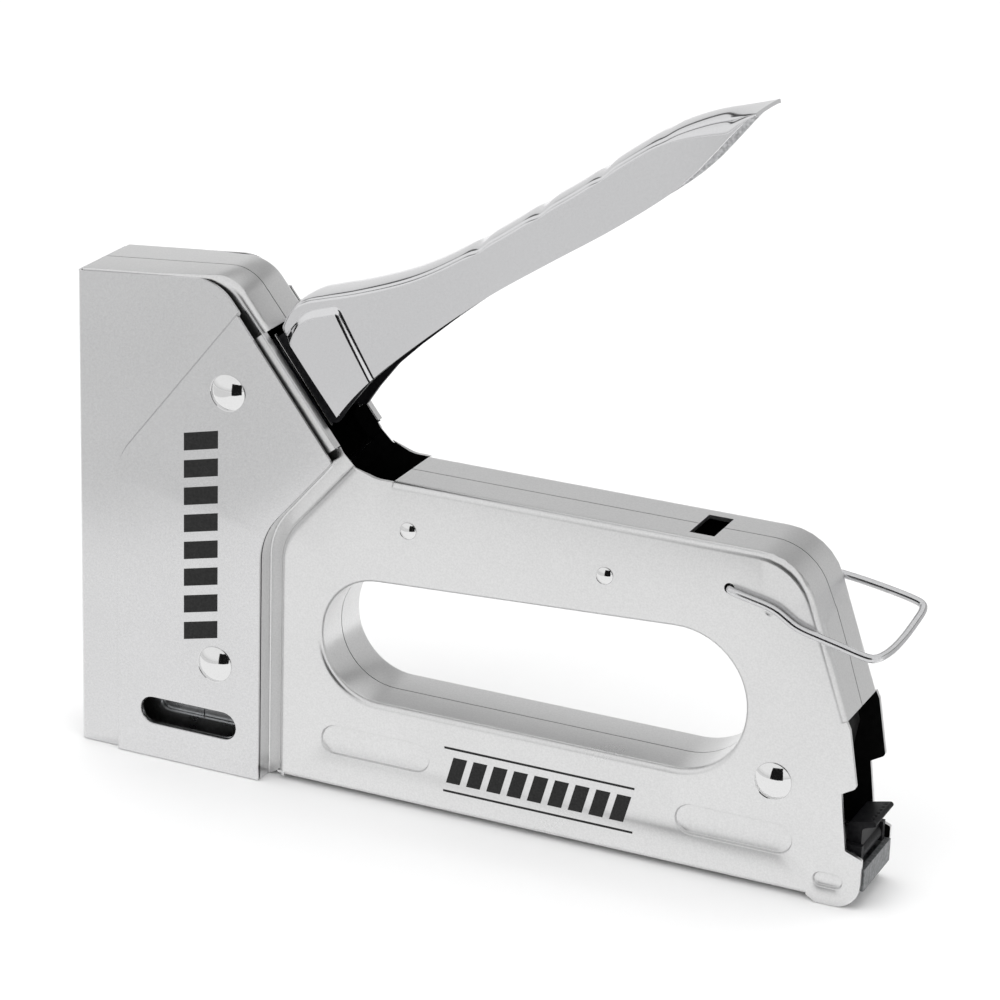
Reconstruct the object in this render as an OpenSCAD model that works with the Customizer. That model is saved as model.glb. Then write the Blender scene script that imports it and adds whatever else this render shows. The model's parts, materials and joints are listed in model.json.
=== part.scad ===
// Heavy-duty staple gun, millimetres.
// +X runs from the nose to the rear, +Y is across the tool, +Z is up.
// The origin is on the bottom of the nose, under the driver blade.
// Outline corners are [x, z, corner radius], listed anticlockwise.

/* [Housing] */
// half width of the grip housing, outside
body_half = 9.5; // [9.2:0.1:10]
// half width of the raised part of the nose shell, outside
nose_half = 11; // [10.8:0.1:11.4]
// sheet thickness of the two housing halves
sheet = 1; // [0.8:0.1:1.2]
// height of the grip top above the resting plane
grip_z = 73.6; // [73:0.2:75]
// depth of the oblong guide presses in the grip sides
press_depth = 0.9; // [0.5:0.1:1.1]
// width of the groove between nose and grip
groove_w = 3.3; // [2.8:0.1:3.6]

/* [Nose cover] */
// sheet thickness of the wrapped nose cover
cover_t = 1.2; // [1:0.1:1.2]
// length of the window slot
slot_len = 23.9; // [20:0.5:25]
// height of the window slot
slot_h = 6.6; // [5:0.2:7]

/* [Rivets] */
// diameter of the three large rivet shanks
rivet_d = 5; // [4.4:0.1:5]
// diameter of the domed rivet heads
rivet_head_d = 8.2; // [7:0.2:9]
// diameter of the two small grip pins
pin_d = 3.8; // [3:0.2:4.4]

/* [Handle] */
// half width of the polished handle
handle_half = 8; // [7.8:0.1:8.1]
// sheet thickness of the handle
handle_t = 1; // [0.8:0.1:1]

/* [Drive] */
// wire diameter of the main spring
main_wire = 1.8; // [1.4:0.1:2]
// mean radius of the main spring
main_r = 3.95; // [3.6:0.05:4]
// thickness of the driver blade
blade_t = 1.2; // [1:0.05:1.3]
// width of the driver blade
blade_w = 10.4; // [10:0.1:10.6]

/* [Magazine] */
// outside width of the staples
staple_w = 10.6; // [10.4:0.1:10.8]
// number of staples in the strip
staple_count = 40; // [10:1:60]
// half width of the magazine end cap
cap_half = 8.2; // [7.5:0.1:8.3]

/* [Wire loop] */
// diameter of the lock wire
loop_d = 1.7; // [1.4:0.1:1.8]

/* [Hidden] */
$fn = 48;
lap = 0.01;
pivot = [32.5, 87.7];
nose_rivet_at = [29.6, 25.2];
rear_rivet_at = [157, 24.8];
grip_pin_at = [[73.7, 63.5], [118.2, 62.2]];
loop_hole = [145.3, 64.8];
spring_x = 8.2;
inner_half = body_half - sheet;
groove_face = 7.5;
groove_back = groove_face - sheet;
lever_out = handle_half - handle_t;
lever_in = lever_out - 1;
core_half = lever_in - 0.15;
core_x = [blade_t / 2, 15.4];
rail_half = staple_w / 2 - 1.1;
rail_top = 12.8;
channel_half = 6.3;
loop_y = body_half + 0.1 + loop_d / 2;

shell_line = [
    [-3.7, 0, 0], [40.3, 0, 0], [40.3, 1.2, 0], [165.6, 1.2, 0], [167.6, 0, 0],
    [177, 0, 5.5], [177, 11.4, 0], [173.3, 12.8, 0], [171.7, 25.2, 0], [174.8, 27, 1],
    [172.6, 39.4, 0], [171.8, 41, 0], [160.1, grip_z, 13], [66.5, grip_z, 8],
    [57.4, 76.7, 0], [59, 78.6, 0], [31.8, 112.4, 9], [-3.7, 109.2, 0]
];
cavity_line = [
    [-2.7, -1, 0], [180, -1, 0], [180, 40.2, 0], [171, 40.2, 0],
    [159.4, grip_z - sheet, 12], [69.8, grip_z - sheet, 0], [69.8, 90, 0],
    [50, 103, 0], [39.6, 101.2, 0], [31.4, 111.2, 8], [-2.7, 108.2, 0]
];
cover_line = [
    [-4.9, 0, 0], [40.3, 0, 0], [40.3, 57.05, 16], [57, 76.4, 1],
    [29.1, 111.6, 10], [-4.9, 108.3, 0]
];
raised_line = [
    [4.8, 0, 0], [40.3, 0, 0], [40.3, 57.05, 16], [57, 76.4, 1],
    [34, 105.4, 2], [4.8, 68.3, 14]
];
raised_shell_line = [
    [6, 0, 0], [39.9, 0, 0], [39.9, 57.2, 16], [56.4, 76.3, 0],
    [34, 104.5, 2], [6, 68.9, 14]
];
groove_line = [
    [40.3, -1, 0], [40.3 + groove_w, -1, 0], [40.3 + groove_w, 55.8, 12.7],
    [64, 79.4, 0], [60.5, 81.1, 0], [40.3, 57.05, 16]
];
finger_line = [
    [53.9, 22.8, 13.4], [150.5, 22.8, 15.8], [150.5, 55.3, 15.8], [53.9, 50, 13.4]
];
throat_line = [
    [40, 66.8, 0], [50, 68.6, 0], [64, 71.2, 0], [66.5, 72.5, 0], [69.8, 72.5, 0],
    [69.8, 90, 0], [40, 90, 0]
];
handle_line = [
    [54.1, 82.7, 0.8], [64.1, 94.6, 30], [77.2, 106.7, 40], [92.2, 118.7, 60],
    [114.9, 134, 60], [135.1, 150.3, 30], [144.8, 160.4, 1], [144.4, 162.3, 1],
    [136.5, 160.9, 20], [127.5, 157.3, 14], [114.6, 148.3, 60], [97.7, 135.7, 60],
    [82, 124.6, 60], [66.5, 115.9, 60], [52.8, 110.9, 30], [44.8, 109.2, 4], [40.4, 101, 2]
];
handle_hollow = [
    [30, 78, 0], [54.1, 81, 0], [64.1, 90, 0], [77.2, 103, 0], [92.2, 115, 0], [114.9, 130, 0],
    [135.1, 146, 0], [147, 158, 0], [144.9, 161, 0], [136.7, 159.7, 20], [128.1, 156.2, 14],
    [115.3, 147.3, 60], [98.4, 134.7, 60], [82.6, 123.5, 60], [67, 114.8, 60],
    [53, 109.8, 30], [45.4, 108.1, 3], [41.2, 100.4, 0], [30, 100.4, 0]
];
lever_line = [
    [10.2, 74.6, 0], [28, 82.5, 10], [38, 81.2, 10], [55.9, 83.6, 1], [58.9, 88.2, 0],
    [63.2, 93.9, 10], [68.3, 98.9, 0], [77.3, 106.9, 1], [75.2, 111.2, 1], [62, 108.8, 20],
    [47.5, 104.6, 8], [34, 94.6, 10], [24, 86.4, 12], [10.5, 80, 0]
];
lever_tip = [[8.6, 77.5], 3.2];

function xz(p) = [p[0], p[1]];
function unit(v) = v / norm(v);
function turn(a) = a > 180 ? a - 360 : (a < -180 ? a + 360 : a);
function arc(c, r, a, sweep, n) = [for (i = [0 : n]) c + r * [cos(a + sweep * i / n), sin(a + sweep * i / n)]];
function bend(p, u, v, half, r) =
    let (c = p + unit(u + v) * r / sin(half))
    let (from = p + u * r / tan(half) - c)
    let (to = p + v * r / tan(half) - c)
    let (start = atan2(from[1], from[0]))
    let (sweep = turn(atan2(to[1], to[0]) - start))
    arc(c, r, start, sweep, max(2, ceil(abs(sweep) / 9)));
function corner(a, p, b) =
    let (u = unit(xz(a) - xz(p)))
    let (v = unit(xz(b) - xz(p)))
    p[2] <= 0 ? [xz(p)] : bend(xz(p), u, v, acos(u * v) / 2, p[2]);
function near(list, i) = list[(i + len(list)) % len(list)];
function rounded(list) = [
    for (i = [0 : len(list) - 1]) each corner(near(list, i - 1), list[i], near(list, i + 1))
];
function left_of(e) = [-e[1], e[0]];
function moved(a, p, b, d) =
    let (e = unit(xz(p) - xz(a)))
    let (f = unit(xz(b) - xz(p)))
    let (n = left_of(e) + left_of(f))
    let (q = xz(p) + n * d / (1 + e * f))
    let (side = sign(e[0] * f[1] - e[1] * f[0]))
    [q[0], q[1], p[2] <= 0 ? 0 : p[2] - side * d];
function inset(list, d) = [
    for (i = [0 : len(list) - 1]) moved(near(list, i - 1), list[i], near(list, i + 1), d)
];
function coil_edge(r, wire, pitch, side) = [
    for (s = [-1 : 0.5 : 1])
        let (at = r + side * wire / 2 * sqrt(1 - s * s))
        let (a = s * 180 * wire / pitch)
        at * [cos(a), sin(a)]
];

module plate(points, y0, y1) {
    translate([0, y1, 0])
        rotate([90, 0, 0])
            linear_extrude(y1 - y0)
                polygon(points);
}

module across(at, d, y0, y1) {
    translate([at[0], y1, at[1]])
        rotate([90, 0, 0])
            cylinder(d = d, h = y1 - y0);
}

module box(low, high) {
    translate(low)
        cube(high - low);
}

module both_sides() {
    children();
    mirror([0, 1, 0])
        children();
}

module oblong(at, length, height, y0, y1) {
    reach = (length - height) / 2;
    translate([at[0], y1, at[1]])
        rotate([90, 0, 0])
            linear_extrude(y1 - y0)
                union() {
                    square([2 * reach, height], center = true);
                    translate([reach, 0])
                        circle(d = height);
                    translate([-reach, 0])
                        circle(d = height);
                }
}

module rod(a, b, d) {
    v = b - a;
    translate(a)
        rotate([0, acos(v[2] / norm(v)), atan2(v[1], v[0])])
            cylinder(d = d, h = norm(v), $fn = 20);
}

module wire_path(points, d) {
    for (i = [0 : len(points) - 2])
        rod(points[i], points[i + 1], d);
    for (i = [1 : len(points) - 2])
        wire_bend(points[i - 1], points[i], points[i + 1], d + 0.1);
}

module wire_bend(a, p, b, d) {
    u = (p - a) / norm(p - a);
    v = (b - p) / norm(b - p);
    x = (u - v) / norm(u - v);
    z = cross(u, v) / norm(cross(u, v));
    y = cross(z, x);
    multmatrix([[x[0], y[0], z[0], p[0]], [x[1], y[1], z[1], p[1]], [x[2], y[2], z[2], p[2]], [0, 0, 0, 1]])
        sphere(d = d, $fn = 20);
}

module coil(r, wire, length, turns, steps) {
    pitch = (length - wire) / turns;
    outer = coil_edge(r, wire, pitch, 1);
    inner = coil_edge(r, wire, pitch, -1);
    translate([0, 0, wire / 2])
        linear_extrude(height = length - wire, twist = -360 * turns, slices = turns * steps, segments = 8)
            polygon([outer[0], outer[1], outer[2], outer[3], outer[4], inner[3], inner[2], inner[1]]);
}

module dome(d, rise) {
    radius = (d * d / 4 + rise * rise) / (2 * rise);
    intersection() {
        translate([0, 0, rise - radius])
            sphere(r = radius);
        cylinder(d = d + 1, h = rise + 1);
    }
}

module rivet(at, half, rise) {
    across(at, rivet_d, -half - lap, half + lap);
    both_sides()
        translate([at[0], -half, at[1]])
            rotate([90, 0, 0])
                dome(rivet_head_d, rise);
}

module hollow() {
    difference() {
        union() {
            plate(rounded(cavity_line), -groove_back, 1);
            difference() {
                plate(rounded(cavity_line), -inner_half, -groove_back);
                plate(rounded(inset(groove_line, -sheet)), -inner_half - 1, 0);
                box([44, -inner_half - 1, -2], [168, -groove_back, 2.2]);
            }
            plate(rounded(inset(raised_shell_line, sheet)), -nose_half + sheet, -inner_half + lap);
            box([7, -nose_half + sheet, -1], [38.9, -inner_half + lap, 10]);
        }
        plate(rounded(inset(finger_line, -sheet)), -inner_half - 1, 2);
    }
}

module press_marks(length, height, y0, y1) {
    oblong([67, 12.2], 25.6 + length, 6.5 + height, y0, y1);
    oblong([149, 12.1], 25.6 + length, 6.5 + height, y0, y1);
    oblong([170, 5.3], 6 + length, 3 + height, y0, y1);
}

module half_housing() {
    press_face = -body_half + press_depth;
    difference() {
        union() {
            difference() {
                union() {
                    plate(rounded(shell_line), -body_half, 0);
                    plate(rounded(raised_shell_line), -nose_half, -body_half + lap);
                }
                hollow();
            }
            intersection() {
                press_marks(1, 1, press_face, press_face + sheet);
                box([50, -12, 1.2], [177, 0, 30]);
            }
        }
        press_marks(0, 0, -body_half - 1, press_face);
        plate(rounded(groove_line), -nose_half - 1, -groove_face);
        plate(rounded(finger_line), -20, 2);
        plate(rounded(throat_line), -handle_half - 0.3, 1);
        box([168.4, -cap_half - 0.15, -1], [180, 1, 8.7]);
        box([134.6, -5.5, grip_z - 3], [140, 1, grip_z + 3]);
        oblong([22.9, 11], slot_len - 1.4, slot_h - 1.2, -20, -inner_half + 1);
        across(pivot, rivet_d, -20, 1);
        across(nose_rivet_at, rivet_d, -20, 1);
        across(rear_rivet_at, rivet_d, -20, 1);
        across(loop_hole, loop_d + 0.3, -20, 1);
        across([166.6, 59.8], 4.4, -20, 1);
        for (at = grip_pin_at)
            across(at, pin_d, -20, 1);
    }
}

module left_housing() {
    color("silver")
        half_housing();
}

module right_housing() {
    color("silver")
        mirror([0, 1, 0])
            half_housing();
}

module cover_side() {
    difference() {
        union() {
            plate(rounded(cover_line), -body_half - cover_t, -body_half);
            plate(rounded(raised_line), -nose_half - cover_t, -body_half);
        }
        plate(rounded(raised_shell_line), -nose_half, 0);
        box([38, -nose_half, -1], [42, 0, 53]);
        oblong([22.9, 11], slot_len, slot_h, -20, 0);
        across(pivot, rivet_d, -20, 0);
        across(nose_rivet_at, rivet_d, -20, 0);
    }
}

module nose_cover() {
    reach = body_half + cover_t;
    color("gainsboro") {
        both_sides()
            cover_side();
        box([-4.9, -reach, 0], [-4.9 + cover_t, reach, 108.3]);
    }
}

module pivot_rivet() {
    color("whitesmoke")
        rivet(pivot, nose_half + cover_t, 1.7);
}

module nose_rivet() {
    color("whitesmoke")
        rivet(nose_rivet_at, nose_half + cover_t, 1.7);
}

module rear_rivet() {
    color("whitesmoke")
        rivet(rear_rivet_at, body_half, 1.6);
}

module grip_pins() {
    color("whitesmoke")
        for (at = grip_pin_at)
            across(at, pin_d, -body_half - 0.3, body_half + 0.3);
}

module pivot_sleeve() {
    color("dimgray")
        difference() {
            across(pivot, 7.6, -lever_in + 0.1, lever_in - 0.1);
            across(pivot, rivet_d, -20, 20);
        }
}

module pivot_washers() {
    color("dimgray")
        both_sides()
            difference() {
                across(pivot, 11, -nose_half + sheet, -lever_out - 0.1);
                across(pivot, rivet_d, -20, 0);
            }
}

module driver_guide() {
    color("slategray")
        box([-2.7, -inner_half, 0], [-blade_t / 2 - 0.12, inner_half, 100]);
}

module nose_block() {
    color("slategray")
        box([blade_t / 2 + 0.12, -inner_half, 16.2], [16, inner_half, 22]);
}

module bumper() {
    color("black")
        box([1.2, -6, 22], [15.2, 6, 32.9]);
}

module spring_cap() {
    color("slategray") {
        box([1, -inner_half, 105.4], [15.4, inner_half, 107.4]);
        translate([spring_x, 0, 72])
            cylinder(d = 3.6, h = 34);
    }
}

module staple_channel() {
    color("darkgray")
        difference() {
            union() {
                box([0.8, -channel_half, 2.4], [166, channel_half, 15.9]);
                box([56, -7.5, 9.6], [78, 7.5, 15]);
                box([138, -7.5, 9.6], [160, 7.5, 15]);
            }
            box([0, -channel_half + 0.8, 2], [167, channel_half - 0.8, 14.9]);
            oblong([22.9, 11], slot_len - 4, slot_h - 2.4, -20, 20);
        }
}

module rear_spacer() {
    color("black")
        plate([[160.2, 16.4], [166, 16.4], [168.8, 34], [164.6, 48], [154, 70], [149.5, 70], [149.5, 68],
            [158.6, 48], [160.2, 34]], -inner_half, inner_half);
}

module handle_shell() {
    color("gainsboro")
        difference() {
            plate(rounded(handle_line), -handle_half, handle_half);
            plate(rounded(handle_hollow), -lever_out, lever_out);
        }
}

module inner_lever() {
    color("dimgray") {
        both_sides()
            difference() {
                union() {
                    plate(rounded(lever_line), -lever_out, -lever_in);
                    across(pivot, 14, -lever_out, -lever_in);
                    across(lever_tip[0], 2 * lever_tip[1], -lever_out, -lever_in);
                }
                across(pivot, rivet_d + 0.1, -20, 0);
            }
        plate([[50, 103.6], [74, 110], [73.6, 111.4], [49.4, 105]], -lever_in - lap, lever_in + lap);
    }
}

module return_spring() {
    color("gray")
        translate([pivot[0], 0, pivot[1]]) {
            translate([0, 4.4, 0])
                rotate([90, 0, 0])
                    coil(5.1, 1.1, 8.8, 5, 14);
            rod([4.9, 3.6, 0.5], [17, 3.6, 13.5], 1.1);
            rod([-4.6, -3.6, 2], [-10, -3.6, -5.5], 1.1);
        }
}

module plunger_core() {
    color("slategray")
        difference() {
            box([core_x[0], -core_half, 33], [core_x[1], core_half, 88]);
            box([core_x[0] + 1.2, -core_half + 0.85, 34.2], [core_x[1] - 1.2, core_half - 0.85, 90]);
            box([core_x[1] - 2, -3, 40], [20, 3, 80]);
        }
}

module driver_blade() {
    color("silver")
        box([-blade_t / 2, -blade_w / 2, 0.8], [blade_t / 2, blade_w / 2, 76]);
}

module blade_rivets() {
    color("silver")
        for (z = [48, 66])
            translate([core_x[0] + 1.2, 0, z])
                rotate([0, 90, 0])
                    cylinder(d = 3, h = 0.9);
}

module core_rollers() {
    color("silver")
        both_sides()
            across([8.6, 83.4], 5, -lever_out - 0.3, -core_half);
}

module main_spring() {
    color("gray")
        translate([spring_x, 0, 34.2])
            coil(main_r, main_wire, 71.2, 10, 14);
}

module staple_rail() {
    color("silver")
        difference() {
            box([blade_t / 2 + 0.15, -rail_half, 1], [172, rail_half, rail_top]);
            box([-1, -rail_half + 1, 0], [170.8, rail_half - 1, rail_top - 1]);
            box([24, -2, 0], [169, 2, 20]);
        }
}

module magazine_cap() {
    color("darkslategray")
        difference() {
            box([172, -cap_half, 4], [177.4, cap_half, 9]);
            box([171, -5.9, 5.4], [176.2, 5.9, 10]);
        }
}

module cap_ears() {
    color("black")
        both_sides()
            difference() {
                box([172, -7.4, 9], [176.2, -6, 13.4]);
                across([174.2, 11], 2, -20, 0);
            }
}

module latch_pin() {
    color("silver")
        across([174.2, 11], 2, -7.9, 7.9);
}

module latch_tab() {
    color("black")
        difference() {
            union() {
                plate(rounded([[173, 9.8, 0], [175.4, 9.8, 0], [175.4, 16.6, 1], [178.4, 17.6, 0.6],
                    [178.1, 18.7, 0.6], [172.3, 17.4, 0.8], [172.3, 15.6, 0.6]]), -5.5, 5.5);
                across([174.2, 11], 3.8, -5.5, 5.5);
            }
            across([174.2, 11], 2.1, -20, 20);
            for (y = [-4 : 1.6 : 4])
                box([173.6, y - 0.3, 18.35], [177.4, y + 0.3, 20]);
        }
}

module pusher_rod() {
    color("silver")
        rod([32, 0, 6.6], [170.8, 0, 6.6], 2.4);
}

module pusher() {
    color("darkgray")
        difference() {
            union() {
                difference() {
                    box([23.4, -5.2, 3.2], [40, 5.2, 14.2]);
                    box([20, -rail_half - 0.15, 2], [41, rail_half + 0.15, rail_top + 0.15]);
                }
                box([25, -1.8, 11], [43, 1.8, 13.4]);
                box([34, -rail_half + 1.15, 2.6], [43, rail_half - 1.15, 11.6]);
            }
            rod([30, 0, 6.6], [50, 0, 6.6], 5.3);
        }
}

module pusher_spring() {
    color("gray")
        translate([34, 0, 6.6])
            rotate([0, 90, 0])
                coil(2.1, 0.7, 136.8, 20, 12);
}

module staple_strip() {
    pitch = 0.56;
    start = blade_t / 2 + 0.2;
    color("silver")
        for (i = [0 : staple_count - 1])
            translate([start + i * pitch, 0, 0])
                difference() {
                    box([0, -staple_w / 2, 3.8], [pitch, staple_w / 2, rail_top + 1]);
                    box([-1, -staple_w / 2 + 1, 3], [2, staple_w / 2 - 1, rail_top + 0.06]);
                }
}

module wire_loop() {
    y = loop_y;
    color("silver")
        wire_path([
            [loop_hole[0], -7.6, loop_hole[1]], [loop_hole[0], -y, loop_hole[1]],
            [155.6, -y, 62.7], [160.6, -y, 59.5], [176.6, -y, 55.9], [179.4, -3, 56.8],
            [180.2, y, 60.8], [163.6, y, 64.2], [loop_hole[0], y, loop_hole[1]],
            [loop_hole[0], 7.6, loop_hole[1]]
        ], loop_d);
}

left_housing();
right_housing();
nose_cover();
driver_guide();
nose_block();
bumper();
spring_cap();
staple_channel();
rear_spacer();
pivot_rivet();
pivot_sleeve();
pivot_washers();
nose_rivet();
rear_rivet();
grip_pins();
handle_shell();
inner_lever();
return_spring();
plunger_core();
driver_blade();
blade_rivets();
core_rollers();
main_spring();
staple_rail();
magazine_cap();
cap_ears();
latch_pin();
latch_tab();
pusher_rod();
pusher();
pusher_spring();
staple_strip();
wire_loop();
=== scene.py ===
import json
import math

import bmesh
import bpy
from mathutils import Matrix, Vector


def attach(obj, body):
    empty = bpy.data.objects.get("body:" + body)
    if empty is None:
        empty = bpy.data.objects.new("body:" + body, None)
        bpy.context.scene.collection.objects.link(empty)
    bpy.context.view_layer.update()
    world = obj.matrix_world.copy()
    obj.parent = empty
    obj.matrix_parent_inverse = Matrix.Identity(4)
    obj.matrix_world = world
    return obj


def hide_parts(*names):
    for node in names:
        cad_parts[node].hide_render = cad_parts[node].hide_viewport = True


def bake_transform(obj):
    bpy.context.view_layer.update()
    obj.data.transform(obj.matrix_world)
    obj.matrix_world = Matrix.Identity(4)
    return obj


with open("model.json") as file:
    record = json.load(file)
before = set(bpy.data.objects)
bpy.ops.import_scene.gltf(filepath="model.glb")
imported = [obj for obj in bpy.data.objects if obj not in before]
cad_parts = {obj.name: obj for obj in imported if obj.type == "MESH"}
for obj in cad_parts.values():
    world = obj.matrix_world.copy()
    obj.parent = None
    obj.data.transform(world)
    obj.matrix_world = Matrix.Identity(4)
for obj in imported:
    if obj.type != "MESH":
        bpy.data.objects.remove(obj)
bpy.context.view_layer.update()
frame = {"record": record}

# Sizes and places are in mm, in the frame of the CAD model. MM turns them into metres.
MM = 0.001
BODY = 9.5       # half width of the grip housing
FRONT = 10.7     # half width of the narrow front zone of the nose cover
RAISED = 12.2    # half width of the raised zone of the nose cover
HANDLE = 8.0     # half width of the handle
SEAM = -0.11     # y of the edge where the left half shell meets the right one
PLATE = 0.9      # thickness of the housing's plate
COVER_PLATE = 0.6
HANDLE_PLATE = 0.8
PRINT = 0.02     # how far printed marks lie above the plate


# ---------------------------------------------------------------- outlines
def unit(v):
    return v / v.length


def ease(t):
    t = min(1.0, max(0.0, t))
    return t * t * (3 - 2 * t)


def corner_arc(a, p, b, r, steps):
    p = Vector(p[:2])
    u, v = unit(Vector(a[:2]) - p), unit(Vector(b[:2]) - p)
    half = math.acos(max(-1.0, min(1.0, u.dot(v)))) / 2
    mid = unit(u + v)
    c = p + mid * (r / math.sin(half))
    start, stop = p + u * (r / math.tan(half)) - c, p + v * (r / math.tan(half)) - c
    a0 = math.atan2(start.y, start.x)
    sweep = (math.atan2(stop.y, stop.x) - a0 + math.pi) % (2 * math.pi) - math.pi
    return [c + Vector((math.cos(a0 + sweep * i / steps), math.sin(a0 + sweep * i / steps))) * r
            for i in range(steps + 1)]


def shifted(corners, d, closed):
    """The corners moved to their left by d, and their radii changed to match."""
    out, n = [], len(corners)
    for i, p in enumerate(corners):
        q = Vector(p[:2])
        a = corners[i - 1] if closed or i > 0 else None
        b = corners[(i + 1) % n] if closed or i < n - 1 else None
        e = unit(q - Vector(a[:2])) if a else None
        f = unit(Vector(b[:2]) - q) if b else None
        e, f = e or f, f or e
        normal = Vector((-e.y, e.x)) + Vector((-f.y, f.x))
        side = math.copysign(1, e.x * f.y - e.y * f.x)
        r = p[2] if len(p) > 2 else 0
        q = q + normal * (d / (1 + e.dot(f)))
        out.append((q.x, q.y, max(0.02, r - side * d) if r else 0))
    return out


def line(corners, closed=False, d=0.0, steps=8):
    """Points of an outline whose corners are (x, z, radius), moved left by d."""
    corners = shifted(corners, d, closed) if d else [tuple(c) + (0,) * (3 - len(c)) for c in corners]
    out, n = [], len(corners)
    for i, p in enumerate(corners):
        if p[2] and (closed or 0 < i < n - 1):
            out += corner_arc(corners[i - 1], p, corners[(i + 1) % n], p[2], steps)
        else:
            out.append(Vector(p[:2]))
    return out


def oblong(cx, cz, length, height, grow=0.0, steps=10):
    r, reach = height / 2 + grow, (length - height) / 2
    ends = [(cx + reach, -90), (cx - reach, 90)]
    return [Vector((x + r * math.cos(math.radians(a0 + 180 * i / steps)),
                    cz + r * math.sin(math.radians(a0 + 180 * i / steps))))
            for x, a0 in ends for i in range(steps + 1)]


def circle(cx, cz, r, steps=20):
    return [Vector((cx + r * math.cos(2 * math.pi * i / steps), cz + r * math.sin(2 * math.pi * i / steps)))
            for i in range(steps)]

# ---------------------------------------------------------------- mesh building
class Sheet:
    """A sheet-metal skin, drawn on the -Y side and mirrored on demand."""

    def __init__(self):
        self.bm = bmesh.new()

    def point(self, p, y):
        return self.bm.verts.new((p[0] * MM, y * MM, p[1] * MM))

    def strip(self, rings, closed=False):
        """Quads between rings of (points, y), or of ready 3D points where y is None."""
        rows = [[self.point(p, y) if y is not None else self.bm.verts.new(Vector(p) * MM) for p in pts]
                for pts, y in rings]
        for a, b in zip(rows, rows[1:]):
            for i in range(len(a) if closed else len(a) - 1):
                j = (i + 1) % len(a)
                self.bm.faces.new((a[i], a[j], b[j], b[i]))

    def bend(self, corners, r, y, inner_y, closed=False, sign=1, steps=6, n=8):
        """A flat panel at y turns through 90 degrees at an edge and runs in to inner_y."""
        rings = []
        for k in range(n + 1):
            a = math.pi / 2 * k / n
            edge = line(corners, closed, sign * r * (1 - math.sin(a)), steps)
            rings.append((edge, y + r * (1 - math.cos(a))))
        rings.append((line(corners, closed, 0.0, steps), inner_y))
        self.strip(rings, closed)

    def flat(self, outer, holes, y):
        """A flat panel at y with holes cut in it."""
        edges = []
        for loop in [outer] + list(holes):
            clean = [p for i, p in enumerate(loop) if (p - loop[i - 1]).length > 1e-4]
            vs = [self.point(p, y) for p in clean]
            edges += [self.bm.edges.new((vs[i - 1], vs[i])) for i in range(len(vs))]
        bmesh.ops.triangle_fill(self.bm, use_beauty=True, use_dissolve=False, edges=edges, normal=(0, -1, 0))

    def mirrored(self):
        """A copy of everything drawn so far, on the +Y side."""
        geom = self.bm.verts[:] + self.bm.edges[:] + self.bm.faces[:]
        dup = bmesh.ops.duplicate(self.bm, geom=geom)["geom"]
        for v in [g for g in dup if isinstance(g, bmesh.types.BMVert)]:
            v.co.y = -v.co.y
        bmesh.ops.reverse_faces(self.bm, faces=[g for g in dup if isinstance(g, bmesh.types.BMFace)])

    def islands(self):
        """Groups of faces that hang together."""
        left = set(self.bm.faces)
        while left:
            island, queue = set(), [left.pop()]
            while queue:
                face = queue.pop()
                island.add(face)
                near = {g for e in face.edges for g in e.link_faces} & left
                left -= near
                queue += near
            yield island

    def finish(self, name, materials, thickness, two_sided=False, flip=False, edge=0.14):
        """Turns the faces outward, to -Y or to both sides, and makes the piece."""
        if flip:
            for v in self.bm.verts:
                v.co.y = -v.co.y
        bmesh.ops.remove_doubles(self.bm, verts=self.bm.verts, dist=2e-6)
        bmesh.ops.recalc_face_normals(self.bm, faces=self.bm.faces)
        outward = 1 if flip else -1
        for island in list(self.islands()):
            vote = 0.0
            for f in island:
                way = 1 if two_sided and f.calc_center_median().y > 0 else outward
                vote += f.normal.y * f.calc_area() * way
            if vote < 0:
                bmesh.ops.reverse_faces(self.bm, faces=list(island))
        return solid(name, self.bm, materials, thickness, edge)


def solid(name, bm, materials, thickness=0.0, edge=0.0, smooth=40):
    mesh = bpy.data.meshes.new(name)
    bm.to_mesh(mesh)
    bm.free()
    mesh.polygons.foreach_set("use_smooth", [True] * len(mesh.polygons))
    mesh.set_sharp_from_angle(angle=math.radians(smooth))
    obj = bpy.data.objects.new(name, mesh)
    bpy.context.scene.collection.objects.link(obj)
    for m in materials:
        mesh.materials.append(m)
    if thickness:
        mod = obj.modifiers.new("sheet", "SOLIDIFY")
        mod.thickness = thickness * MM
        mod.offset = -1
        mod.use_even_offset = True
        mod.material_offset = 1 if len(materials) > 1 else 0
        mod.material_offset_rim = 0
    if edge:
        mod = obj.modifiers.new("edge", "BEVEL")
        mod.width = edge * MM
        mod.segments = 2
        mod.limit_method = "ANGLE"
        mod.angle_limit = math.radians(55)
        mod.harden_normals = True
    return obj


# ---------------------------------------------------------------- materials
def tree(name):
    mat = bpy.data.materials.new(name)
    mat.use_nodes = True
    nt = mat.node_tree
    nt.nodes.clear()
    out = nt.nodes.new("ShaderNodeOutputMaterial")
    bsdf = nt.nodes.new("ShaderNodeBsdfPrincipled")
    nt.links.new(bsdf.outputs[0], out.inputs[0])
    return mat, nt, bsdf


def noise(nt, scale, detail=3.0, stretch=None, rough=0.5):
    coord = nt.nodes.new("ShaderNodeTexCoord")
    tex = nt.nodes.new("ShaderNodeTexNoise")
    tex.inputs["Scale"].default_value = scale
    tex.inputs["Detail"].default_value = detail
    tex.inputs["Roughness"].default_value = rough
    if stretch:
        mapping = nt.nodes.new("ShaderNodeMapping")
        mapping.inputs["Scale"].default_value = stretch
        nt.links.new(coord.outputs["Object"], mapping.inputs[0])
        nt.links.new(mapping.outputs[0], tex.inputs["Vector"])
    else:
        nt.links.new(coord.outputs["Object"], tex.inputs["Vector"])
    return tex.outputs[0]


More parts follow.
